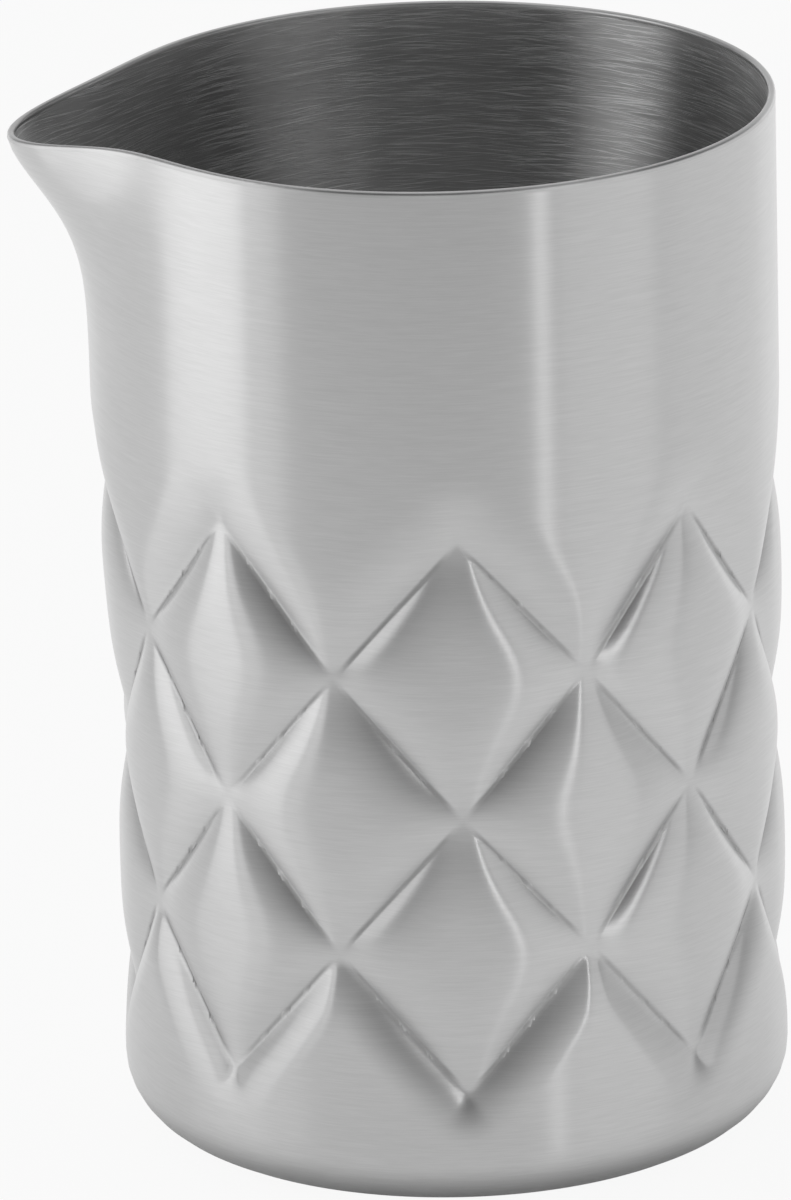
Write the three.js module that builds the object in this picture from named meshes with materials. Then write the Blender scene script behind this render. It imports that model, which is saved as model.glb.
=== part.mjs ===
// Double-walled mixing tin with a pressed diamond wall and a pinched pouring spout.
// Millimetres, +Z up. The origin is on the tin's axis in the plane it stands on, and the spout
// points along -X. Angles are measured from the spout, anticlockwise seen from above.
import * as THREE from 'three';

// Sheet metal and seams
const bodyRadius = 45;            // outside of the plain wall
const outerSheet = 0.5;           // outer wall thickness
const linerSheet = 0.4;           // inner wall thickness
const lapGap = 0.1;               // between the two walls where they lap at the rim
const seamGap = 0.05;             // hairline between a weld and the sheet that it joins
const rimBeadHeight = 0.7;        // rounded bead that closes the two sheet edges

// Heights, from the standing plane upwards
const footBand = 16.8;            // plain band below the lowest groove corners
const diamondHalfHeight = 19.2;   // one level of the diamond grid
const collarHeight = 48.4;        // plain collar between the diamonds and the rim

// Pressed diamonds
const diamondsRound = 8;
const diamondRows = 3;            // rows overlap by half a diamond
const pillowHeight = 1.75;        // pillow top above the groove crossings
const pillowPower = 2.95;         // how square the pillow's section is
const edgeShare = 0.12;           // share of the pillow's height in its steep edge
const edgePower = 8;              // how narrow the steep edge is
const grooveSag = 0.63;           // groove middle below the groove crossings
const groovePower = 5;            // how narrow the sagging part of a groove is
const crossingPower = 2.4;        // how soon a groove sags beside a crossing
const topFade = 9.6;              // the collar rolls into the top groove over this distance
const topFadePower = 2.5;         // how steeply the collar reaches the groove
const footFade = 6.5;             // the foot band rolls into the bottom groove over this distance
const footFadePower = 2;          // how steeply the foot band reaches the groove
const cornerBlend = 3;            // softening where two sides of the pattern's border meet
const borderRound = 0.3;          // rounding of the border groove's bottom

// Pouring spout
const spoutReach = 10;            // nose beyond the bulged wall
const spoutSpread = 16.3;         // degrees to where the nose has fallen to 1/e
const spoutFall = 11.2;           // depth below the rim where the nose has fallen to 1/e
const spoutFallPower = 1.75;      // how abruptly the nose ends below the rim
const noseDip = 3.2;              // the rim drops this far at the nose
const noseDipSpread = 18.2;       // degrees to where the drop has fallen to 1/e
const bulgeReach = 2;             // broad bulge of the wall under the nose
const bulgeSpread = 24;           // degrees to where the bulge has fallen to 1/e
const bulgeRise = 45;             // height over which the bulge grows
const bulgeLevel = 6;             // full bulge is reached this far above the diamonds

// Inner wall
const lapDepth = 6;               // height of the lap below the rim bead
const grooveClearance = 1;        // inner wall behind the deepest groove
const linerCorner = 10;           // outside radius of the inner wall's bottom corner
const floorGap = 6;               // free height between base plate and inner floor

// Foot and base
const footCorner = 8.5;           // outside radius of the bottom corner
const footWidth = 6.5;            // flat ring that the tin stands on
const baseRecess = 0.2;           // base plate above the standing plane
const baseSheet = 0.6;            // base plate thickness
const weldWidth = 0.8;            // ring weld between the foot ring and the base plate
const weldCrown = 0.1;            // middle of the weld below its edges
const ventRadius = 1.5;
const ventOffset = 14;            // vent hole from the axis
const plugDome = 0.15;            // plug's rounded end below the base plate

// Mesh fineness
const stepsPerCell = 4;           // grid steps across half a diamond
const collarSteps = 9;
const fadeSteps = 2;
const cornerSteps = 4;
const beadSteps = 8;
const roundSteps = 64;

const columns = diamondsRound * 2 * stepsPerCell;
const cellAngle = Math.PI / diamondsRound;
const cellWidth = bodyRadius * cellAngle;
const gridLevels = diamondRows + 1;
const patternTop = footBand + gridLevels * diamondHalfHeight;
const tinHeight = patternTop + collarHeight;
const rimWidth = outerSheet + lapGap + linerSheet;
const cavity = pillowHeight + grooveSag + grooveClearance;
const cornerCentre = bodyRadius - footCorner;
const holeRadius = cornerCentre - footWidth;
const plateRadius = holeRadius - weldWidth;

const { degToRad, smoothstep } = THREE.MathUtils;
const bell = (angle, spread) => Math.exp(-((angle / degToRad(spread)) ** 2));

// Angle from the spout, between -PI and PI.
const offSpout = (angle) => Math.atan2(Math.sin(angle), Math.cos(angle));

const rimHeight = (angle) => tinHeight - noseDip * bell(offSpout(angle), noseDipSpread);
const sheetTop = (angle) => rimHeight(angle) - rimBeadHeight - seamGap;

// How far the spout and the bulge under it stand out of the round wall.
function spoutOffset(angle, z) {
  const off = offSpout(angle);
  const depth = Math.max(rimHeight(angle) - z, 0);
  const nose = spoutReach * bell(off, spoutSpread) * Math.exp(-((depth / spoutFall) ** spoutFallPower));
  const full = patternTop + bulgeLevel;
  return nose + bulgeReach * bell(off, bulgeSpread) * smoothstep(z, full - bulgeRise, full);
}

// Grid levels below the top of the diamonds.
const levelOf = (z) => (patternTop - z) / diamondHalfHeight;

// Distance from a whole number of double steps, scaled so that 0 is mid-cell and 1 is on a groove.
const cellShare = (t) => Math.abs(t - 2 * Math.floor(t / 2) - 1);
const crown = (t) => 1 - (1 - edgeShare) * t ** pillowPower - edgeShare * t ** edgePower;
const sag = (t) => grooveSag * (1 - t ** crossingPower) ** 2;

// Distance from one side of the pattern's zigzag border, and the place along that side. Across is
// counted from the side's outer corner in half diamonds, and beyond from there outwards in levels.
function sideDistance(across, beyond) {
  const [width, height] = [cellWidth ** 2, diamondHalfHeight ** 2];
  const along = THREE.MathUtils.clamp((across * width - beyond * height) / (width + height), 0, 1);
  const distance = Math.hypot((across - along) * cellWidth, (beyond + along) * diamondHalfHeight);
  return [distance, along];
}

// Depth of the roll between the plain wall and the pattern's border, 0 or negative.
function roll(zigzag, beyond, fade, power) {
  const [near, along] = sideDistance(zigzag, beyond);
  const [far] = sideDistance(2 - zigzag, beyond);
  const blend = Math.max(1 - (far - near) / cornerBlend, 0);
  const blended = Math.max(near - cornerBlend * blend ** 2 / 4, 0);
  const distance = Math.hypot(blended, borderRound) - borderRound;
  const left = Math.max(1 - distance / fade, 0) ** power;
  return -left * (pillowHeight + sag(Math.abs(2 * along - 1)));
}

// Depth of the pressed diamonds below the plain wall, 0 or negative. Across is counted in half
// diamonds round the tin and down in grid levels. Grooves run where their sum or difference is even.
function relief(angle, z) {
  const across = angle / cellAngle;
  const down = levelOf(z);
  const zigzag = cellShare(across + 1);
  if (down < zigzag) return roll(zigzag, -down, topFade, topFadePower);
  if (down > gridLevels - zigzag) return roll(zigzag, down - gridLevels, footFade, footFadePower);
  const rise = cellShare(across + down);
  const run = cellShare(across - down);
  const groove = rise ** groovePower * sag(run) + run ** groovePower * sag(rise);
  return pillowHeight * (crown(rise) * crown(run) - 1) - groove;
}

const outerRadius = (angle, z) => bodyRadius + spoutOffset(angle, z) + relief(angle, z);

// Outside of the inner wall: it lies behind the outer wall at the lap and draws in to a plain
// cylinder before the diamonds begin.
function linerRadius(angle, z) {
  const drawn = 1 - smoothstep(z, patternTop + topFade, tinHeight - noseDip - lapDepth);
  return bodyRadius - outerSheet - lapGap - cavity * drawn + spoutOffset(angle, z) * (1 - drawn);
}

// A row of points round the tin. The place of a point is its radius and height at an angle, and
// the row's level is taken at the back, away from the spout.
function ring(placeAt) {
  const points = [];
  for (let i = 0; i < columns; i += 1) {
    const angle = (i / columns) * 2 * Math.PI;
    const [radius, z] = placeAt(angle);
    points.push([-radius * Math.cos(angle), -radius * Math.sin(angle), z]);
  }
  return { points, level: levelOf(placeAt(Math.PI)[1]) };
}

const pole = (z) => ({ points: [[0, 0, z]], level: levelOf(z) });

// Rows of the plain collar, from the sheet's top edge down to the end of the groove's roll.
function collarRows(radiusAt) {
  const rows = [];
  const foot = patternTop + topFade;
  for (let j = 0; j <= collarSteps; j += 1) {
    rows.push(ring((angle) => {
      const z = THREE.MathUtils.lerp(sheetTop(angle), foot, j / collarSteps);
      return [radiusAt(angle, z), z];
    }));
  }
  return rows;
}

// Rows of a quarter-round bottom corner, below its straight wall.
function cornerRows(centre, corner, lift, inset) {
  const rows = [];
  for (let j = 0; j <= cornerSteps; j += 1) {
    const turn = (j / cornerSteps) * Math.PI / 2;
    const radius = centre + (corner - inset) * Math.cos(turn);
    const z = lift + corner - (corner - inset) * Math.sin(turn);
    rows.push(ring(() => [radius, z]));
  }
  return rows;
}

// One face of the outer wall, from the rim to the hole in the foot ring. An inset of one sheet
// gives its inner face.
function outerFace(inset) {
  const radiusAt = (angle, z) => outerRadius(angle, z) - inset;
  const wallRow = (z) => ring((angle) => [radiusAt(angle, z), z]);
  const rows = collarRows(radiusAt);
  for (let j = fadeSteps - 1; j > 0; j -= 1) {
    rows.push(wallRow(patternTop + topFade * j / fadeSteps));
  }
  for (let j = 0; j <= gridLevels * stepsPerCell; j += 1) {
    rows.push(wallRow(patternTop - diamondHalfHeight * j / stepsPerCell));
  }
  for (let j = 1; j <= fadeSteps; j += 1) {
    rows.push(wallRow(footBand - (footBand - footCorner) * j / (fadeSteps + 1)));
  }
  rows.push(...cornerRows(cornerCentre, footCorner, 0, inset));
  rows.push(ring(() => [holeRadius, inset]));
  return rows;
}

// One face of the inner wall, from the rim to the middle of its floor.
function linerFace(inset) {
  const lift = baseRecess + baseSheet + floorGap;
  const centre = linerRadius(Math.PI, lift) - linerCorner;
  return [
    ...collarRows((angle, z) => linerRadius(angle, z) - inset),
    ...cornerRows(centre, linerCorner, lift, inset),
    pole(lift + inset),
  ];
}

// Section of the rim bead: a half oval over the two sheet edges, closed by its flat underside.
function beadRows() {
  const rows = [];
  for (let j = 0; j <= beadSteps; j += 1) {
    const turn = (j / beadSteps) * Math.PI;
    rows.push(ring((angle) => {
      const middle = outerRadius(angle, sheetTop(angle)) - rimWidth / 2;
      const foot = rimHeight(angle) - rimBeadHeight;
      return [middle + rimWidth / 2 * Math.cos(turn), foot + rimBeadHeight * Math.sin(turn)];
    }));
  }
  return rows.reverse();
}

// Squares are cut along the groove in them, so the cut changes side like a chequerboard. True where
// it runs from the first row to the next column of the second row.
function cutsOnward(first, second, column) {
  const level = Math.floor((first.level + second.level) / 2);
  const falls = (Math.floor(column / stepsPerCell) + level) % 2 === 0;
  return falls === second.level > first.level;
}

// Closed skin through rows of points. Rows run down the outside and up the inside; a loop joins
// its last row to the first, and a pole closes an end.
function skin(rows, loop) {
  const positions = rows.flatMap((row) => row.points).flat();
  const starts = [];
  let count = 0;
  for (const row of rows) {
    starts.push(count);
    count += row.points.length;
  }
  const indices = [];
  const corner = (r, i) => starts[r] + (i % rows[r].points.length);
  const last = loop ? rows.length : rows.length - 1;
  for (let r = 0; r < last; r += 1) {
    const next = (r + 1) % rows.length;
    const [first, second] = [rows[r], rows[next]];
    for (let i = 0; i < columns; i += 1) {
      const [a, b, c, d] = [corner(r, i), corner(next, i), corner(next, i + 1), corner(r, i + 1)];
      if (first.points.length === 1) indices.push(a, b, c);
      else if (second.points.length === 1) indices.push(a, b, d);
      else if (cutsOnward(first, second, i)) indices.push(a, b, c, a, c, d);
      else indices.push(a, b, d, b, c, d);
    }
  }
  const geometry = new THREE.BufferGeometry();
  geometry.setAttribute('position', new THREE.Float32BufferAttribute(positions, 3));
  geometry.setIndex(indices);
  geometry.computeVertexNormals();
  return geometry;
}

const outerShellGeometry = () => skin([...outerFace(0), ...outerFace(outerSheet).reverse()], true);

const linerGeometry = () => skin([...linerFace(linerSheet).reverse(), ...linerFace(0)], false);

// Flat disc with the vent hole, set into the hole of the foot ring from below.
function basePlateGeometry() {
  const disc = new THREE.Shape().absarc(0, 0, plateRadius, 0, 2 * Math.PI);
  disc.holes.push(new THREE.Path().absarc(ventOffset, 0, ventRadius, 0, 2 * Math.PI, true));
  const curveSegments = roundSteps / 2;
  return new THREE.ExtrudeGeometry(disc, { depth: baseSheet, bevelEnabled: false, curveSegments });
}

// Turned ring or plug from a profile of radius and height.
function turned(profile) {
  const points = profile.map(([radius, z]) => new THREE.Vector2(radius, z));
  return new THREE.LatheGeometry(points, roundSteps).rotateX(Math.PI / 2);
}

// Ring weld between the edge of the base plate and the hole of the foot ring, crowned downwards.
function baseWeldGeometry() {
  const inner = plateRadius + seamGap;
  const outer = holeRadius - seamGap;
  const crown = [(inner + outer) / 2, -weldCrown];
  const top = outerSheet - baseRecess;
  return turned([[inner, 0], crown, [outer, 0], [outer, top], [inner, top], [inner, 0]]);
}

// Plug in the vent hole, flush with the inside of the base plate and domed below it.
function ventPlugGeometry() {
  const radius = ventRadius - seamGap;
  return turned([[0, -plugDome], [radius / 2, -plugDome], [radius, 0], [radius, baseSheet], [0, baseSheet]]);
}

const steel = (color, roughness) => new THREE.MeshStandardMaterial({ color, roughness, metalness: 1 });

function piece(name, geometry, material) {
  const mesh = new THREE.Mesh(geometry, material);
  mesh.name = name;
  return mesh;
}

const satin = steel(0xb8b8b8, 0.38);
const scratched = steel(0x9a9a98, 0.3);
const ground = steel(0xc8c8c8, 0.25);
const plain = steel(0xaaaaaa, 0.45);

const base = new THREE.Group();
base.position.z = baseRecess;
const plug = piece('vent_plug', ventPlugGeometry(), plain);
plug.position.x = ventOffset;
base.add(
  piece('base_plate', basePlateGeometry(), plain),
  piece('base_weld', baseWeldGeometry(), ground),
  plug,
);

const tin = new THREE.Group();
tin.add(
  piece('outer_shell', outerShellGeometry(), satin),
  piece('inner_liner', linerGeometry(), scratched),
  piece('rim_bead', skin(beadRows(), true), ground),
  base,
);

export default tin;
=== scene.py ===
"""Mixing tin: fine meshes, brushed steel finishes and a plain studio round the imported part."""

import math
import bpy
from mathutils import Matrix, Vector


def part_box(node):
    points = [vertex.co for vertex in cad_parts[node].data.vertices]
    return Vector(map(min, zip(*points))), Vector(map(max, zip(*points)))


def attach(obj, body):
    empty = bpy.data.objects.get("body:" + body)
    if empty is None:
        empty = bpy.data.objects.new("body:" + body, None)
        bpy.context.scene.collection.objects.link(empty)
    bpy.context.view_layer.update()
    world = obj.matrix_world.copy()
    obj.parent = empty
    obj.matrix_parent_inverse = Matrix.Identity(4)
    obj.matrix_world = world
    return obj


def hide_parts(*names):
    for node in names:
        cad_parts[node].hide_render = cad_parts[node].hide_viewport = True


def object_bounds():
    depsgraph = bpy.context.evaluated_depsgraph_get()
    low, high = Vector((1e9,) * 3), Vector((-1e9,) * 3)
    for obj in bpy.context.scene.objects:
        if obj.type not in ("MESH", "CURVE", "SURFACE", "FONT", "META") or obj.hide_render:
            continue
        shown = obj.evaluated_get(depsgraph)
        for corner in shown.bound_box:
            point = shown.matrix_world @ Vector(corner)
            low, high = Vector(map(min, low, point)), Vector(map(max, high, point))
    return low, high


bl_info = {
    "name": "Mixing Tin",
    "version": (1, 0, 0),
    "blender": (4, 5, 0),
    "location": "View3D > Sidebar > Mixing Tin",
    "description": "Builds a double-walled mixing tin with pressed diamonds and a pouring spout",
    "category": "Add Mesh",
}

import bmesh
import bpy
from bpy.props import FloatProperty, FloatVectorProperty, IntProperty, PointerProperty
from mathutils import Matrix, Vector

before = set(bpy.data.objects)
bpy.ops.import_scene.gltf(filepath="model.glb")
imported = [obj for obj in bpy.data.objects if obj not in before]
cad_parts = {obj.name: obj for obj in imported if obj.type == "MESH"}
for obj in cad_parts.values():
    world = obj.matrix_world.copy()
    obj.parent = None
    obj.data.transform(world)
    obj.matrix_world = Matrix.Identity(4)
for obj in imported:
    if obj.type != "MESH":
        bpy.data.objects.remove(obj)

CAD_LOW, CAD_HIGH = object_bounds()
_, SHELL_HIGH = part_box("outer_shell")
LINER_LOW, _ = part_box("inner_liner")
PLATE_LOW, PLATE_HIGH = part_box("base_plate")
WELD_LOW, WELD_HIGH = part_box("base_weld")
PLUG_LOW, PLUG_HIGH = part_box("vent_plug")

BODY = "root"
SEAM_GAP = 0.00005
HAIRLINE = 0.000005
MERGE_DISTANCE = 1e-6
SHARP_ANGLE = math.radians(60)
FULL_TURN = 2 * math.pi
UP = Vector((0, 0, 1))
ORIGIN = Vector((0, 0, 0))


def length(name, description, default):
    return FloatProperty(
        name=name, description=description, default=default, unit="LENGTH", precision=5
    )


def angle(name, description, degrees):
    return FloatProperty(
        name=name, description=description, default=math.radians(degrees), subtype="ANGLE"
    )


def number(name, description, default):
    return FloatProperty(name=name, description=description, default=default)


def count(name, description, default):
    return IntProperty(name=name, description=description, default=default, min=1)


def colour(name, description, default):
    return FloatVectorProperty(
        name=name, description=description, default=default, subtype="COLOR", min=0, max=1
    )


class TinSizes(bpy.types.PropertyGroup):
    """Sizes of the tin, in metres"""

    body_radius: length("Body radius", "Outside of the plain wall", SHELL_HIGH.x)
    tin_height: length("Height", "Top of the rim, away from the spout", CAD_HIGH.z)
    outer_sheet: length("Outer sheet", "Thickness of the outer wall", 0.0005)
    liner_sheet: length("Inner sheet", "Thickness of the inner wall", 0.0004)
    lap_gap: length("Lap gap", "Between the two walls at the rim", 0.0001)
    seam_gap: length("Seam gap", "Hairline between a weld and its sheets", SEAM_GAP)
    bead_height: length("Bead height", "Rounded bead over the two sheet edges", 0.0007)
    bead_shoulder: length("Bead shoulder", "Upright sides of the bead below its rounding", 0.0003)

    foot_band: length("Foot band", "Plain band below the diamonds", 0.0168)
    half_height: length("Diamond half height", "One level of the diamond grid", 0.0192)
    diamonds_round: count("Diamonds round", "Diamonds in one row", 8)
    diamond_rows: count("Diamond rows", "Rows, which overlap by half a diamond", 3)
    pillow_height: length("Pillow height", "Pillow top above the groove crossings", 0.00175)
    groove_sag: length("Groove sag", "Groove middle below the groove crossings", 0.00063)
    pillow_power: number("Pillow power", "How square the pillow's section is", 2.95)
    edge_share: number("Edge share", "Share of the height in the steep edge of a pillow", 0.12)
    edge_power: number("Edge power", "How narrow the steep edge of a pillow is", 8.0)
    groove_power: number("Groove power", "How narrow the sagging part of a groove is", 5.0)
    crossing_power: number("Crossing power", "How soon a groove sags beside a crossing", 2.4)
    top_fade: length("Top fade", "The collar rolls into the top groove over this", 0.0096)
    top_fade_power: number("Top fade power", "How steeply the collar reaches the groove", 2.5)
    foot_fade: length("Foot fade", "The foot band rolls into the bottom groove over this", 0.0065)
    foot_fade_power: number("Foot fade power", "How steeply the foot band reaches the groove", 2.0)
    corner_blend: length("Corner blend", "Softening where two sides of the border meet", 0.003)
    border_round: length("Border round", "Rounding of the border groove's bottom", 0.0003)

    spout_reach: length("Spout reach", "Nose beyond the bulged wall", 0.01)
    spout_spread: angle("Spout spread", "To where the nose has fallen to 1/e", 16.3)
    spout_fall: length("Spout fall", "Depth where the nose has fallen to 1/e", 0.0112)
    spout_fall_power: number("Spout fall power", "How abruptly the nose ends", 1.75)
    nose_dip: length("Nose dip", "The rim drops this far at the nose", 0.0032)
    nose_dip_spread: angle("Nose dip spread", "To where the drop has fallen to 1/e", 18.2)
    bulge_reach: length("Bulge reach", "Broad bulge of the wall under the nose", 0.002)
    bulge_spread: angle("Bulge spread", "To where the bulge has fallen to 1/e", 24)
    bulge_rise: length("Bulge rise", "Height over which the bulge grows", 0.045)
    bulge_level: length("Bulge level", "Full bulge above the diamonds", 0.006)

    lap_depth: length("Lap depth", "Height of the lap below the rim bead", 0.006)
    groove_clearance: length("Groove clearance", "Inner wall behind the deepest groove", 0.001)
    liner_corner: length("Inner corner", "Outside radius of the inner bottom corner", 0.01)
    liner_floor: length("Inner floor", "Underside of the inner floor", LINER_LOW.z)

    foot_corner: length("Foot corner", "Outside radius of the bottom corner", 0.0085)
    foot_hole: length("Foot hole", "Radius of the hole in the foot ring", WELD_HIGH.x + SEAM_GAP)
    vent_radius: length("Vent radius", "Vent hole in the base plate", 0.0015)
    plate_edge: length("Plate edge", "Softening of the base plate's edges", 0.00008)
    weld_ripple: length("Weld ripple", "Height of the ripples along the base weld", 0.00004)


class TinFinish(bpy.types.PropertyGroup):
    """Colours of the steel"""

    satin: colour("Satin steel", "Outside of the tin", (0.62, 0.62, 0.62))
    satin_worn: colour("Satin streaks", "Darker brush marks of the outside", (0.57, 0.57, 0.57))
    # Groove colour is painted shade: a darker tone laid into the creases, where shade falls
    groove: colour("Groove", "Polishing residue in the creases", (0.34, 0.34, 0.34))
    inside: colour("Inside steel", "Inner wall between its scratches", (0.4, 0.4, 0.4))
    # The scratches are real marks, and their near-white colour is a painted glint
    scratch_and_glint: colour("Inside scratches", "Bright scratches of the inner wall", (0.95, 0.95, 0.95))
    rim: colour("Rim", "Ground bead along the rim", (0.62, 0.62, 0.62))
    base: colour("Base", "Rolled sheet of the base plate", (0.5, 0.5, 0.495))
    weld: colour("Weld", "Tinted bead of the base weld", (0.46, 0.44, 0.41))
    floor: colour("Floor", "Studio floor", (0.9, 0.9, 0.9))


# Shape of the wall, as functions of the angle from the spout and the height


def bell(angle_off, spread):
    return math.exp(-((angle_off / spread) ** 2))


def smoothstep(value, low, high):
    share = min(max((value - low) / (high - low), 0), 1)
    return share * share * (3 - 2 * share)


def cell_angle(sizes):
    return math.pi / sizes.diamonds_round


def grid_levels(sizes):
    return sizes.diamond_rows + 1


def pattern_top(sizes):
    return sizes.foot_band + grid_levels(sizes) * sizes.half_height


def levels_down(sizes, z):
    """Grid levels from the top of the pattern down to a height."""
    return (pattern_top(sizes) - z) / sizes.half_height


def rim_drop(sizes, off):
    return sizes.nose_dip * bell(off, sizes.nose_dip_spread)


def edge_height(sizes):
    """Top edge of both sheets, away from the spout."""
    return sizes.tin_height - sizes.bead_height - sizes.seam_gap


def spout_offset(sizes, off, z):
    """How far the spout and the bulge under it stand out of the round wall."""
    depth = max(sizes.tin_height - rim_drop(sizes, off) - z, 0)
    fall = math.exp(-((depth / sizes.spout_fall) ** sizes.spout_fall_power))
    full = pattern_top(sizes) + sizes.bulge_level
    bulge = bell(off, sizes.bulge_spread) * smoothstep(z, full - sizes.bulge_rise, full)
    return sizes.spout_reach * bell(off, sizes.spout_spread) * fall + sizes.bulge_reach * bulge


def cell_share(t):
    """0 in the middle of a cell and 1 on a groove."""
    return abs(t % 2 - 1)


def cell_width(sizes):
    return sizes.body_radius * cell_angle(sizes)


def border_distance(sizes, zigzag, beyond):
    """Distance from the zigzag border of the pattern, and the place along its nearest side."""
    width, height = cell_width(sizes), sizes.half_height

    def side_distance(across):
        share = (across * width**2 - beyond * height**2) / (width**2 + height**2)
        share = min(max(share, 0), 1)
        return math.hypot((across - share) * width, (beyond + share) * height), share

    near, along = side_distance(zigzag)
    far, _ = side_distance(2 - zigzag)
    blend = max(1 - (far - near) / sizes.corner_blend, 0)
    blended = max(near - sizes.corner_blend * blend**2 / 4, 0)
    return math.hypot(blended, sizes.border_round) - sizes.border_round, along


def relief(sizes, off, z):
    """Depth of the pressed diamonds below the plain wall, 0 or negative."""

    def crown(t):
        edge = sizes.edge_share
        return 1 - (1 - edge) * t**sizes.pillow_power - edge * t**sizes.edge_power

    def sag(t):
        return sizes.groove_sag * (1 - t**sizes.crossing_power) ** 2

    levels = grid_levels(sizes)
    across = off / cell_angle(sizes)
    down = levels_down(sizes, z)
    zigzag = cell_share(across + 1)
    if zigzag <= down <= levels - zigzag:
        rise, run = cell_share(across + down), cell_share(across - down)
        groove = rise**sizes.groove_power * sag(run) + run**sizes.groove_power * sag(rise)
        return sizes.pillow_height * (crown(rise) * crown(run) - 1) - groove
    fade, power = sizes.top_fade, sizes.top_fade_power
    if down > zigzag:
        fade, power = sizes.foot_fade, sizes.foot_fade_power
    distance, along = border_distance(sizes, zigzag, max(-down, down - levels))
    left = max(1 - distance / fade, 0) ** power
    return -left * (sizes.pillow_height + sag(abs(2 * along - 1)))


def groove_pitch(sizes):
    """Distance between a groove and the far corner of its cell, square to the groove."""
    width = cell_width(sizes)
    return width * sizes.half_height / math.hypot(width, sizes.half_height)


def cavity(sizes):
    return sizes.pillow_height + sizes.groove_sag + sizes.groove_clearance


def drawn_in(sizes, z):
    """Share by which the inner wall has left the outer one at a height."""
    low = pattern_top(sizes) + sizes.top_fade
    return 1 - smoothstep(z, low, sizes.tin_height - sizes.nose_dip - sizes.lap_depth)


def liner_radius(sizes, z):
    lapped = sizes.body_radius - sizes.outer_sheet - sizes.lap_gap
    return lapped - cavity(sizes) * drawn_in(sizes, z)


# Modelling steps that the pieces share


def draw_line(mesh, start, radius, z, steps):
    """Straight run of the half section from a vertex to a radius and height."""
    stride = (Vector((radius, 0, z)) - start.co) / steps
    for _ in range(steps):
        start = bmesh.ops.extrude_vert_indiv(mesh, verts=[start])["verts"][0]
        start.co += stride
    return start


def draw_arc(mesh, start, radius, z, turn, steps):
    """Round run of the half section about a centre at a radius and height."""
    made = bmesh.ops.spin(
        mesh, geom=[start], cent=(radius, 0, z), axis=(0, 1, 0), angle=turn, steps=steps
    )
    return next(item for item in made["geom_last"] if isinstance(item, bmesh.types.BMVert))


def turn_round(mesh, columns):
    """Turns the half section into one sector, repeats it round and keeps its corners sharp."""
    section = mesh.verts[:] + mesh.edges[:]
    sector = FULL_TURN / SECTORS
    steps = columns // SECTORS
    bmesh.ops.spin(mesh, geom=section, cent=ORIGIN, axis=UP, angle=sector, steps=steps)
    bmesh.ops.spin(
        mesh, geom=mesh.verts[:] + mesh.edges[:] + mesh.faces[:], cent=ORIGIN, axis=UP,
        angle=FULL_TURN - sector, steps=SECTORS - 1, use_duplicate=True,
    )
    bmesh.ops.remove_doubles(mesh, verts=mesh.verts, dist=MERGE_DISTANCE)
    bmesh.ops.recalc_face_normals(mesh, faces=mesh.faces)
    for edge in mesh.edges:
        edge.smooth = edge.calc_face_angle(0) < SHARP_ANGLE


def off_spout(vertex):
    return math.atan2(-vertex.co.y, -vertex.co.x)


def push_out(vertex, offset, drop=0):
    """Moves a vertex away from the tin's axis and down."""
    outwards = Vector((vertex.co.x, vertex.co.y, 0)).normalized()
    vertex.co += outwards * offset - UP * drop


def finish_piece(mesh, name, material, slot, *nodes):
    """Makes the object of a piece, which rides on the tin and stands for its CAD nodes."""
    for face in mesh.faces:
        face.smooth = True
    data = bpy.data.meshes.new(name)
    mesh.to_mesh(data)
    mesh.free()
    data.materials.append(material)
    piece = bpy.data.objects.new(name, data)
    bpy.context.scene.collection.objects.link(piece)
    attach(piece, BODY)
    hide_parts(*nodes)


# Pieces

# Mesh fineness: steps across half a diamond, then rows, columns and steps of the other stretches
STEPS_PER_CELL = 28
COLLAR_ROWS, FADE_ROWS, FOOT_ROWS, BACK_ROWS = 22, 10, 10, 34
CORNER_ROWS, BACK_CORNER_ROWS, RING_ROWS = 8, 6, 2
LINER_COLUMNS, LINER_ROWS, LINER_CORNER_ROWS, LINER_FLOOR_ROWS = 256, 60, 10, 12
BEAD_STEPS = 12
ROUND_COLUMNS, VENT_COLUMNS, PLUG_COLUMNS = 128, 32, 48
WELD_RIPPLES, COLUMNS_PER_RIPPLE, WELD_STEPS = 128, 6, 3
DOME_STEPS, CAP_STEPS = 3, 2
SECTORS = 8


def collar_share(sizes, z):
    """0 at the foot of the collar and 1 at the top edge of the sheet."""
    foot = pattern_top(sizes) + sizes.top_fade
    return max((z - foot) / (edge_height(sizes) - foot), 0)


def shell_section(mesh, sizes):
    """Half section of the plain outer wall: down its outside, round the foot and up its inside."""
    radius, corner, sheet = sizes.body_radius, sizes.foot_corner, sizes.outer_sheet
    centre = radius - corner
    top = edge_height(sizes)
    first = mesh.verts.new((radius, 0, top))
    end = draw_line(mesh, first, radius, pattern_top(sizes) + sizes.top_fade, COLLAR_ROWS)
    end = draw_line(mesh, end, radius, pattern_top(sizes), FADE_ROWS)
    end = draw_line(mesh, end, radius, sizes.foot_band, grid_levels(sizes) * STEPS_PER_CELL)
    end = draw_line(mesh, end, radius, corner, FOOT_ROWS)
    end = draw_arc(mesh, end, centre, corner, math.pi / 2, CORNER_ROWS)
    end = draw_line(mesh, end, sizes.foot_hole, 0, RING_ROWS)
    end = draw_line(mesh, end, sizes.foot_hole, sheet, 1)
    end = draw_line(mesh, end, centre, sheet, RING_ROWS)
    end = draw_arc(mesh, end, centre, corner, -math.pi / 2, BACK_CORNER_ROWS)
    end = draw_line(mesh, end, radius - sheet, top, BACK_ROWS)
    mesh.edges.new((end, first))


def grid_place(sizes, place):
    """Half diamonds round the tin from the spout, and grid levels down from the collar."""
    across = math.atan2(-place.y, -place.x) / cell_angle(sizes)
    return across, levels_down(sizes, place.z)


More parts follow.
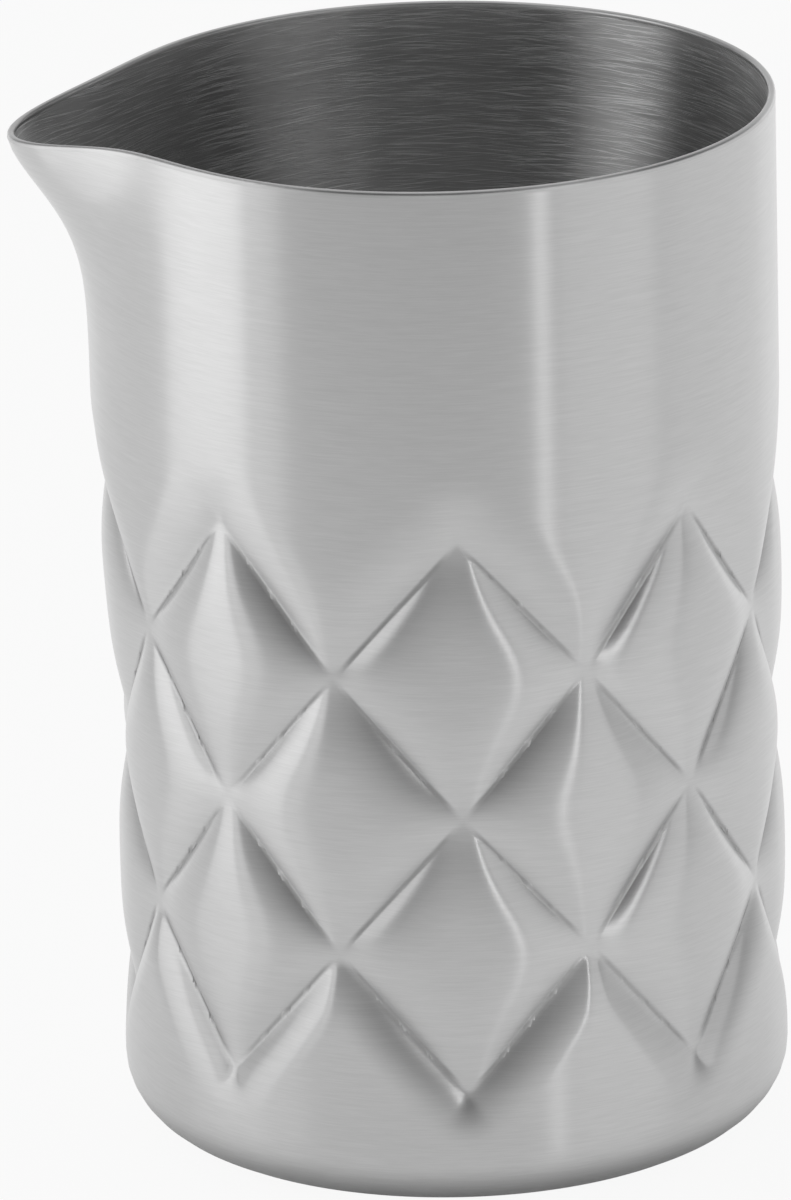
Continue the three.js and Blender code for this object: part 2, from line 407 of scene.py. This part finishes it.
def split_along_grooves(mesh, sizes):
    """Splits each square of the wall in two, along the direction of its nearest groove."""
    round_trip = 2 * sizes.diamonds_round
    splits = {"FIXED": [], "ALTERNATE": []}
    for face in mesh.faces:
        across, down = grid_place(sizes, face.calc_center_median())
        slope = 1 if cell_share(across + down) > cell_share(across - down) else -1
        corners = (grid_place(sizes, vertex.co) for vertex in face.verts)
        a, b, c, d = (across + slope * down for across, down in corners)
        first, second = math.remainder(a - c, round_trip), math.remainder(b - d, round_trip)
        splits["FIXED" if abs(first) < abs(second) else "ALTERNATE"].append(face)
    for method, faces in splits.items():
        bmesh.ops.triangulate(mesh, faces=faces, quad_method=method)


def make_shell(sizes, finish):
    """Pressed outer wall with its diamonds, spout and foot."""
    mesh = bmesh.new()
    shell_section(mesh, sizes)
    turn_round(mesh, 2 * sizes.diamonds_round * STEPS_PER_CELL)
    split_along_grooves(mesh, sizes)
    for vertex in mesh.verts:
        off = off_spout(vertex)
        drop = rim_drop(sizes, off) * collar_share(sizes, vertex.co.z)
        z = vertex.co.z - drop
        push_out(vertex, spout_offset(sizes, off, z) + relief(sizes, off, z), drop)
    material = satin_outside(sizes, finish)
    finish_piece(mesh, "shell", material, "satin_outside", "outer_shell")


def liner_section(mesh, sizes, inset):
    """Half section of one face of the inner wall, from the rim to the middle of its floor."""
    low = sizes.liner_floor + sizes.liner_corner
    top = edge_height(sizes)
    end = first = mesh.verts.new((liner_radius(sizes, top) - inset, 0, top))
    for row in range(1, LINER_ROWS + 1):
        z = top + (low - top) * row / LINER_ROWS
        end = draw_line(mesh, end, liner_radius(sizes, z) - inset, z, 1)
    centre = liner_radius(sizes, low) - sizes.liner_corner
    end = draw_arc(mesh, end, centre, low, math.pi / 2, LINER_CORNER_ROWS)
    draw_line(mesh, end, 0, sizes.liner_floor + inset, LINER_FLOOR_ROWS)
    return first


def make_liner(sizes, finish):
    """Smooth inner cup with the inner half of the spout."""
    mesh = bmesh.new()
    outer = liner_section(mesh, sizes, 0)
    inner = liner_section(mesh, sizes, sizes.liner_sheet)
    mesh.edges.new((outer, inner))
    turn_round(mesh, LINER_COLUMNS)
    for vertex in mesh.verts:
        if vertex.co.z > pattern_top(sizes):
            off = off_spout(vertex)
            drop = rim_drop(sizes, off) * collar_share(sizes, vertex.co.z)
            z = vertex.co.z - drop
            push_out(vertex, spout_offset(sizes, off, z) * (1 - drawn_in(sizes, z)), drop)
    material = scratched_inside(sizes, finish)
    finish_piece(mesh, "liner", material, "scratched_inside", "inner_liner")


def make_bead(sizes, finish):
    """Ground bead over the two sheet edges, along the rim and round the spout."""
    half_width = (sizes.outer_sheet + sizes.lap_gap + sizes.liner_sheet) / 2
    middle = sizes.body_radius - half_width
    foot = edge_height(sizes) + HAIRLINE
    mesh = bmesh.new()
    shoulder = foot + sizes.bead_shoulder
    first = mesh.verts.new((middle + half_width, 0, shoulder))
    end = draw_arc(mesh, first, middle, shoulder, -math.pi, BEAD_STEPS)
    flatten = Matrix.Scale((sizes.tin_height - shoulder) / half_width, 4, UP)
    around = Matrix.Translation(-shoulder * UP)
    bmesh.ops.transform(mesh, matrix=flatten, space=around, verts=mesh.verts)
    end = draw_line(mesh, end, middle - half_width, foot, 1)
    end = draw_line(mesh, end, middle + half_width, foot, 1)
    mesh.edges.new((end, first))
    turn_round(mesh, 2 * sizes.diamonds_round * STEPS_PER_CELL)
    for vertex in mesh.verts:
        off = off_spout(vertex)
        drop = rim_drop(sizes, off)
        push_out(vertex, spout_offset(sizes, off, edge_height(sizes) - drop), drop)
    finish_piece(mesh, "bead", ground_rim(finish), "ground_rim", "rim_bead")


def make_plate(sizes, finish):
    """Flat base disc with its vent hole and softened edges."""
    mesh = bmesh.new()
    low = Matrix.Translation(PLATE_LOW.z * UP)
    vent = Vector(((PLUG_LOW.x + PLUG_HIGH.x) / 2, 0, PLATE_LOW.z))
    bmesh.ops.create_circle(mesh, segments=ROUND_COLUMNS, radius=PLATE_HIGH.x, matrix=low)
    hole = Matrix.Translation(vent)
    bmesh.ops.create_circle(mesh, segments=VENT_COLUMNS, radius=sizes.vent_radius, matrix=hole)
    bmesh.ops.triangle_fill(mesh, edges=mesh.edges, use_beauty=True, normal=UP)
    up = bmesh.ops.extrude_face_region(mesh, geom=mesh.faces[:])["geom"]
    raised = [item for item in up if isinstance(item, bmesh.types.BMVert)]
    bmesh.ops.translate(mesh, verts=raised, vec=(PLATE_HIGH.z - PLATE_LOW.z) * UP)
    bmesh.ops.recalc_face_normals(mesh, faces=mesh.faces)
    rims = [edge for edge in mesh.edges if edge.calc_face_angle(0) > SHARP_ANGLE]
    bmesh.ops.bevel(
        mesh, geom=rims, offset=sizes.plate_edge, offset_type="OFFSET", segments=2, profile=0.5,
        affect="EDGES", material=-1,
    )
    finish_piece(mesh, "plate", plain_base(finish), "plain_base", "base_plate")


def make_weld(sizes, finish):
    """Ring weld round the base plate, with the fine ripples of its passes."""
    inner, outer = PLATE_HIGH.x + sizes.seam_gap, WELD_HIGH.x
    edge = PLATE_LOW.z
    mesh = bmesh.new()
    first = mesh.verts.new((inner, 0, edge))
    end = draw_line(mesh, first, (inner + outer) / 2, WELD_LOW.z, WELD_STEPS)
    end = draw_line(mesh, end, outer, edge, WELD_STEPS)
    end = draw_line(mesh, end, outer, WELD_HIGH.z, 1)
    end = draw_line(mesh, end, inner, WELD_HIGH.z, 1)
    mesh.edges.new((end, first))
    turn_round(mesh, WELD_RIPPLES * COLUMNS_PER_RIPPLE)
    for vertex in mesh.verts:
        if vertex.co.z < edge:
            ripple = math.sin(WELD_RIPPLES * off_spout(vertex))
            vertex.co.z += sizes.weld_ripple * (1 + ripple) / 2
    finish_piece(mesh, "weld", weld_steel(finish), "weld_steel", "base_weld")


def make_plug(finish):
    """Plug of the vent hole with a domed end."""
    middle = (PLUG_LOW.x + PLUG_HIGH.x) / 2
    radius = PLUG_HIGH.x - middle
    mesh = bmesh.new()
    first = mesh.verts.new((0, 0, PLUG_LOW.z))
    end = draw_line(mesh, first, radius / 2, PLUG_LOW.z, CAP_STEPS)
    end = draw_line(mesh, end, radius, PLATE_LOW.z, DOME_STEPS)
    end = draw_line(mesh, end, radius, PLUG_HIGH.z, 1)
    draw_line(mesh, end, 0, PLUG_HIGH.z, CAP_STEPS)
    turn_round(mesh, PLUG_COLUMNS)
    bmesh.ops.translate(mesh, verts=mesh.verts, vec=(middle, 0, 0))
    finish_piece(mesh, "plug", plain_base(finish), "plain_base", "vent_plug")


# Finishes

# Spans of a noise over which a tone runs, and over which a scratch shows
TONE_SPAN, SCRATCH_SPAN = (0.35, 0.65), (0.54, 0.68)

# Half width of the painted shade in a groove, and the shares of a cell over which it fades in
# beside a crossing and out beyond the pattern
CREASE_SHADE_WIDTH = 0.0006
CROSSING_FADE, BORDER_FADE = (0.08, 0.35), (0.0, 0.02)

SCRATCH_RISE, SCRATCH_FALL = math.radians(4), math.radians(-3)

# Share of their colour that the rim and the base keep where they are dull
RIM_DULL, BASE_DULL = 0.85, 0.8


class Signal:
    """One output socket of a material, with the operators that its maths needs."""

    def __init__(self, tree, socket=None):
        self.tree = tree
        self.socket = socket

    def node(self, kind, settings=None, inputs=None, output=0):
        """Adds a node with its settings, then the values or links of its sockets."""
        made = self.tree.nodes.new(kind)
        for name, value in (settings or {}).items():
            setattr(made, name, value)
        for key, value in (inputs or {}).items():
            if isinstance(value, Signal):
                self.tree.links.new(value.socket, made.inputs[key])
            else:
                made.inputs[key].default_value = value
        return Signal(self.tree, made.outputs[output] if made.outputs else None)

    def maths(self, operation, first, second=0.0):
        return self.node("ShaderNodeMath", {"operation": operation}, {0: first, 1: second})

    def __add__(self, other):
        return self.maths("ADD", self, other)

    __radd__ = __add__

    def __sub__(self, other):
        return self.maths("SUBTRACT", self, other)

    def __rsub__(self, other):
        return self.maths("SUBTRACT", other, self)

    def __mul__(self, other):
        return self.maths("MULTIPLY", self, other)

    __rmul__ = __mul__

    def __truediv__(self, other):
        return self.maths("DIVIDE", self, other)

    def between(self, low, high):
        """0 below one value and 1 above another, smooth between them."""
        limits = {"Value": self, "From Min": low, "From Max": high}
        return self.node("ShaderNodeMapRange", {"interpolation_type": "SMOOTHSTEP"}, limits)

    def mix(self, first, second):
        """Colour between two others, by this value."""
        return self.node(
            "ShaderNodeMix", {"data_type": "RGBA"}, {0: self, 6: first, 7: second}, output=2
        )


def start_material(name):
    """New material with an empty tree, and its object coordinates."""
    material = bpy.data.materials.new(name)
    material.use_nodes = True
    material.node_tree.nodes.clear()
    blank = Signal(material.node_tree)
    return material, blank.node("ShaderNodeTexCoord", output="Object")


def split_axes(place):
    """The three parts of a vector."""
    axes = place.node("ShaderNodeSeparateXYZ", inputs={0: place}).socket.node.outputs
    return [Signal(place.tree, socket) for socket in axes]


def turned_place(place, flat_radius):
    """Place whose height goes on running inwards over the flat bottom inside a radius."""
    x, y, z = split_axes(place)
    reach = place.maths("SQRT", x * x + y * y)
    height = z - place.maths("MINIMUM", reach, flat_radius)
    return place.node("ShaderNodeCombineXYZ", inputs={0: x, 1: y, 2: height})


def streaks(place, along, across, tilt=0.0):
    """Noise drawn out round the tin, in streaks of a length and a width, tilted by an angle."""
    turn, scale = (0, tilt, 0), (1 / along, 1 / along, 1 / across)
    tilted = place.node("ShaderNodeMapping", inputs={"Vector": place, "Rotation": turn})
    stretched = place.node("ShaderNodeMapping", inputs={"Vector": tilted, "Scale": scale})
    inputs = {"Vector": stretched, "Scale": 1.0, "Detail": 2.0, "Roughness": 0.6}
    return place.node("ShaderNodeTexNoise", inputs=inputs)


def blotches(place, size):
    """Soft even noise of a size."""
    inputs = {"Vector": place, "Scale": 1 / size, "Detail": 3.0}
    return place.node("ShaderNodeTexNoise", inputs=inputs)


def steel(place, tone, roughness, height, brushing, bump=0.1, depth=0.00002):
    """Brushed metal surface; its highlights spread up and down, square to the brushing."""
    normal = place.node(
        "ShaderNodeBump", inputs={"Height": height, "Strength": bump, "Distance": depth}
    )
    surface = place.node(
        "ShaderNodeBsdfPrincipled",
        inputs={
            "Base Color": tone, "Roughness": roughness, "Normal": normal, "Metallic": 1.0,
            "Anisotropic": brushing, "Anisotropic Rotation": 0.25,
        },
    )
    place.node("ShaderNodeOutputMaterial", inputs={"Surface": surface})


def painted_crease_shade(place, sizes):
    """Painted shade: 1 in the bottom of a groove, fading out beside it and towards the crossings.
    """
    x, y, z = split_axes(place)
    across = place.maths("ARCTAN2", 0 - y, 0 - x) / cell_angle(sizes)
    down = levels_down(sizes, z)
    rise = place.maths("PINGPONG", across + down, 1.0)
    run = place.maths("PINGPONG", across - down, 1.0)
    nearest = place.maths("MINIMUM", rise, run) * groove_pitch(sizes)
    crossing = place.maths("MAXIMUM", rise, run).between(*CROSSING_FADE)
    half = grid_levels(sizes) / 2
    beyond = place.maths("ABSOLUTE", down - half) - half
    inside_grid = 1 - beyond.between(*BORDER_FADE)
    return (1 - nearest.between(0.0, CREASE_SHADE_WIDTH)) * crossing * inside_grid


def satin_outside(sizes, finish):
    """Satin steel with fine brushing round the tin and painted shade in the creases."""
    material, place = start_material("satin_outside")
    turned = turned_place(place, sizes.body_radius - sizes.foot_corner)
    fine = streaks(turned, along=0.004, across=0.00012)
    broad = streaks(turned, along=0.01, across=0.0004)
    cloud = blotches(place, 0.02)
    crease_shade = painted_crease_shade(place, sizes)
    wear = fine * 0.5 + broad * 0.3 + cloud * 0.2
    brushed = wear.between(*TONE_SPAN).mix((*finish.satin_worn, 1), (*finish.satin, 1))
    # Painted shade: the creases are mixed halfway towards the darker groove colour
    tone = (crease_shade * 0.5).mix(brushed, (*finish.groove, 1))
    roughness = 0.3 + (cloud - 0.5) * 0.05 + crease_shade * 0.1
    steel(place, tone, roughness, fine, brushing=0.97, bump=0.6, depth=0.000004)
    return material


def scratched_inside(sizes, finish):
    """Steel with long polishing scratches round the inside, painted bright as their glint."""
    material, place = start_material("scratched_inside")
    turned = turned_place(place, liner_radius(sizes, 0) - sizes.liner_corner)
    rising = streaks(turned, along=0.014, across=0.00016, tilt=SCRATCH_RISE)
    falling = streaks(turned, along=0.01, across=0.0001, tilt=SCRATCH_FALL)
    level = streaks(turned, along=0.02, across=0.0003)
    scratch_and_glint = place.maths("MAXIMUM", rising, falling).between(*SCRATCH_SPAN)
    # Painted glint: the scratches are mixed towards a near-white colour
    tone = (level * 0.4 + scratch_and_glint * 0.6).mix((*finish.inside, 1), (*finish.scratch_and_glint, 1))
    roughness = 0.38 + (level - 0.5) * 0.2
    steel(place, tone, roughness, scratch_and_glint + level, brushing=1.0, bump=0.5, depth=0.00003)
    return material


def ground_rim(finish):
    """Ground seam, brighter and finer than the walls."""
    material, place = start_material("ground_rim")
    grain = blotches(place, 0.0004)
    cloud = blotches(place, 0.012)
    dull = tuple(RIM_DULL * channel for channel in finish.rim)
    tone = cloud.between(*TONE_SPAN).mix((*dull, 1), (*finish.rim, 1))
    roughness = 0.34 + cloud * 0.1
    steel(place, tone, roughness, grain, brushing=0.2, bump=0.1, depth=0.000004)
    return material


def plain_base(finish):
    """Rolled sheet with a faint grain along one direction."""
    material, place = start_material("plain_base")
    along, across = 0.02, 0.0002
    scale = (1 / along, 1 / across, 1 / along)
    rolled = place.node("ShaderNodeMapping", inputs={"Vector": place, "Scale": scale})
    grain = place.node("ShaderNodeTexNoise", inputs={"Vector": rolled, "Scale": 1.0})
    cloud = blotches(place, 0.015)
    dull = tuple(BASE_DULL * channel for channel in finish.base)
    tone = (grain * 0.5 + cloud * 0.5).between(*TONE_SPAN).mix((*dull, 1), (*finish.base, 1))
    steel(place, tone, 0.34 + grain * 0.12, grain, brushing=0.2)
    return material


def weld_steel(finish):
    """Weld bead with a faint straw tint."""
    material, place = start_material("weld_steel")
    cloud = blotches(place, 0.003)
    grain = blotches(place, 0.0003)
    grey = tuple(sum(finish.weld) / 3 for _ in range(3))
    tone = cloud.between(*TONE_SPAN).mix((*grey, 1), (*finish.weld, 1))
    steel(place, tone, 0.3 + grain * 0.15, grain, brushing=0.0)
    return material


# Studio

# The floor lies a hair below the foot ring, so that the two faces don't coincide
FLOOR_SIZE, FLOOR_LEVEL = 20.0, -0.00005

# Room in front of the tin, behind it and low down, with the directions over which they change
ROOM_FRONT, ROOM_BACK = (0.1, 0.1, 0.1, 1), (0.22, 0.22, 0.22, 1)
ROOM_LOW, HORIZON = (0.3, 0.3, 0.3, 1), (1, 1, 1, 1)
FRONT_TO_BACK, HORIZON_TO_LOW, LOW_TO_HIGH = (-0.1, 0.4), (0.06, 0.1), (0.1, 0.45)

CAMERA_PLACE = Vector((-0.05165, -1.52498, 0.59311))
CAMERA_YAW = math.radians(1.68)
CAMERA_PITCH = math.radians(-18.88)
CAMERA_ROLL = math.radians(-1.37)
CAMERA_LENS = 360.0

# Name, azimuth to the right of the camera's side, distance, foot, width, height, radiance
WALL_LAMPS = (
    ("left_softbox", -82, 0.345, 0, 0.19, 0.5, 0.55),
    ("left_halo", -82, 0.35, 0.12, 0.3, 0.34, 0.25),
    ("left_upper", -82, 0.5, 0.2, 0.22, 0.5, 0.75),
    ("left_front", -60, 0.6, 0.1, 0.12, 0.32, 0.75),
    ("right_strip", 31, 1.0, 0, 0.07, 0.3, 2.6),
    ("upper_strip", 32, 1.0, 0.6, 0.07, 1.2, 1.6),
    ("right_panel", 55, 1.0, 0, 0.62, 1.6, 0.42),
    ("rear_panel", 175, 1.0, 0, 2.0, 1.4, 0.45),
)

# Name, place behind the tin, height, side, radiance
CEILING_LAMP = ("ceiling_panel", 0.35, 1.3, 1.2, 0.55)

# As mirrored, the floor is white close to the tin and dim towards the front of the studio
FLOOR_NEAR, FLOOR_FAR = -0.12, -0.6
FLOOR_SEEN, FLOOR_WHITE, FLOOR_DIM = 0.92, 0.93, 0.35

# Close to the foot the tin keeps light off the floor, which its wall mirrors: radius where a
# shade is full, radius where it ends, and the share of light left in it
CONTACT_SHADES = ((0.041, 0.052, 0.1), (0.045, 0.12, 0.8))


def make_floor(finish):
    """Pale floor, which camera and reflections see as white with the tin's shadow on it."""
    mesh = bmesh.new()
    level = Matrix.Translation(FLOOR_LEVEL * UP)
    bmesh.ops.create_grid(mesh, x_segments=1, y_segments=1, size=FLOOR_SIZE / 2, matrix=level)
    data = bpy.data.meshes.new("floor")
    mesh.to_mesh(data)
    mesh.free()
    floor = bpy.data.objects.new("floor", data)
    bpy.context.scene.collection.objects.link(floor)
    data.materials.append(floor_material(finish))


def floor_material(finish):
    """Matt floor that camera and reflections see as mostly white."""
    material, place = start_material("floor")
    path = place.node("ShaderNodeLightPath").socket.node.outputs
    camera, glossy, through = (
        Signal(place.tree, path[f"Is {ray} Ray"]) for ray in ("Camera", "Glossy", "Transmission")
    )
    _, depth, _ = split_axes(place)
    reach = place.node(
        "ShaderNodeVectorMath", {"operation": "LENGTH"}, {0: place}, output="Value"
    )
    mirrored = FLOOR_DIM + depth.between(FLOOR_FAR, FLOOR_NEAR) * (FLOOR_WHITE - FLOOR_DIM)
    for full, end, left in CONTACT_SHADES:
        mirrored = mirrored * (left + reach.between(full, end) * (1 - left))
    reflection = place.maths("MAXIMUM", glossy, through)
    seen = place.maths("MAXIMUM", camera * FLOOR_SEEN, reflection * mirrored)
    matt = place.node("ShaderNodeBsdfDiffuse", inputs={"Color": (*finish.floor, 1)})
    white = place.node("ShaderNodeEmission", inputs={"Color": (1, 1, 1, 1), "Strength": 1.0})
    mixed = place.node("ShaderNodeMixShader", inputs={0: seen, 1: matt, 2: white})
    place.node("ShaderNodeOutputMaterial", inputs={"Surface": mixed})
    return material


def make_lamp(name, place, facing, width, height, radiance):
    """Soft lamp of an even radiance, which the camera doesn't see."""
    lamp = bpy.data.lights.new(name, "AREA")
    lamp.shape = "RECTANGLE"
    lamp.size, lamp.size_y = width, height
    lamp.energy = radiance * math.pi * width * height
    lamp_object = bpy.data.objects.new(name, lamp)
    lamp_object.location = place
    lamp_object.rotation_euler = facing.to_track_quat("-Z", "Y").to_euler()
    lamp_object.visible_camera = False
    bpy.context.scene.collection.objects.link(lamp_object)


def make_lamps():
    """Upright lamps that stand on the floor and face the tin, and one panel above it."""
    for name, azimuth, distance, foot, width, height, radiance in WALL_LAMPS:
        around = math.radians(azimuth)
        outwards = Vector((math.sin(around), -math.cos(around), 0))
        place = outwards * distance + UP * (foot + height / 2)
        make_lamp(name, place, -outwards, width, height, radiance)
    name, back, height, size, radiance = CEILING_LAMP
    make_lamp(name, Vector((0, back, height)), -UP, size, size, radiance)


def make_world():
    """Dim studio room, paler low down, with a white band at the horizon."""
    world = bpy.data.worlds.new("studio")
    world.use_nodes = True
    world.node_tree.nodes.clear()
    blank = Signal(world.node_tree)
    direction = blank.node("ShaderNodeTexCoord", output="Generated")
    _, depth, height = split_axes(direction)
    room = depth.between(*FRONT_TO_BACK).mix(ROOM_FRONT, ROOM_BACK)
    haze = height.between(*LOW_TO_HIGH).mix(ROOM_LOW, room)
    tone = height.between(*HORIZON_TO_LOW).mix(HORIZON, haze)
    light = blank.node("ShaderNodeBackground", inputs={"Color": tone, "Strength": 1.0})
    blank.node("ShaderNodeOutputWorld", inputs={"Surface": light})
    bpy.context.scene.world = world


def make_camera():
    """Camera at the photograph's place."""
    camera = bpy.data.cameras.new("camera")
    camera.lens = CAMERA_LENS
    camera_object = bpy.data.objects.new("camera", camera)
    yaw = Matrix.Rotation(-CAMERA_YAW, 4, "Z")
    pitch = Matrix.Rotation(math.pi / 2 + CAMERA_PITCH, 4, "X")
    roll = Matrix.Rotation(CAMERA_ROLL, 4, "Z")
    camera_object.matrix_world = Matrix.Translation(CAMERA_PLACE) @ yaw @ pitch @ roll
    bpy.context.scene.collection.objects.link(camera_object)
    bpy.context.scene.camera = camera_object


# Operators and panel


class PieceOperator:
    """What the operators of the pieces share: a maker that gets the sizes and colours."""

    bl_options = {"REGISTER", "UNDO"}

    def execute(self, context):
        self.make(context.scene.tin_sizes, context.scene.tin_finish)
        return {"FINISHED"}


class TIN_OT_outer_shell(PieceOperator, bpy.types.Operator):
    """Make the pressed outer wall"""

    bl_idname = "mixing_tin.outer_shell"
    bl_label = "Outer shell"

    def make(self, sizes, finish):
        make_shell(sizes, finish)


class TIN_OT_inner_liner(PieceOperator, bpy.types.Operator):
    """Make the smooth inner cup"""

    bl_idname = "mixing_tin.inner_liner"
    bl_label = "Inner liner"

    def make(self, sizes, finish):
        make_liner(sizes, finish)


class TIN_OT_rim_bead(PieceOperator, bpy.types.Operator):
    """Make the bead along the rim"""

    bl_idname = "mixing_tin.rim_bead"
    bl_label = "Rim bead"

    def make(self, sizes, finish):
        make_bead(sizes, finish)


class TIN_OT_base(PieceOperator, bpy.types.Operator):
    """Make the base plate with its weld and vent plug"""

    bl_idname = "mixing_tin.base"
    bl_label = "Base"

    def make(self, sizes, finish):
        make_plate(sizes, finish)
        make_weld(sizes, finish)
        make_plug(finish)


class TIN_OT_stage(PieceOperator, bpy.types.Operator):
    """Make the floor, the lamps and the camera"""

    bl_idname = "mixing_tin.stage"
    bl_label = "Studio"

    def make(self, sizes, finish):
        bpy.context.scene.view_settings.view_transform = "Standard"
        make_camera()
        make_world()
        make_floor(finish)
        make_lamps()


OPERATORS = (TIN_OT_stage, TIN_OT_outer_shell, TIN_OT_inner_liner, TIN_OT_rim_bead, TIN_OT_base)


class TIN_PT_panel(bpy.types.Panel):
    """Sizes, colours and makers of the tin"""

    bl_label = "Mixing Tin"
    bl_idname = "TIN_PT_panel"
    bl_space_type = "VIEW_3D"
    bl_region_type = "UI"
    bl_category = "Mixing Tin"

    def draw(self, context):
        for group in (context.scene.tin_sizes, context.scene.tin_finish):
            box = self.layout.box()
            for name in group.__annotations__:
                box.prop(group, name)
        for operator in OPERATORS:
            self.layout.operator(operator.bl_idname)


CLASSES = (TinSizes, TinFinish, *OPERATORS, TIN_PT_panel)


def register():
    for item in CLASSES:
        bpy.utils.register_class(item)
    bpy.types.Scene.tin_sizes = PointerProperty(type=TinSizes)
    bpy.types.Scene.tin_finish = PointerProperty(type=TinFinish)


def unregister():
    del bpy.types.Scene.tin_finish
    del bpy.types.Scene.tin_sizes
    for item in reversed(CLASSES):
        bpy.utils.unregister_class(item)


def main():
    register()
    bpy.ops.mixing_tin.stage()
    bpy.ops.mixing_tin.outer_shell()
    bpy.ops.mixing_tin.inner_liner()
    bpy.ops.mixing_tin.rim_bead()
    bpy.ops.mixing_tin.base()


if __name__ == "__main__":
    main()
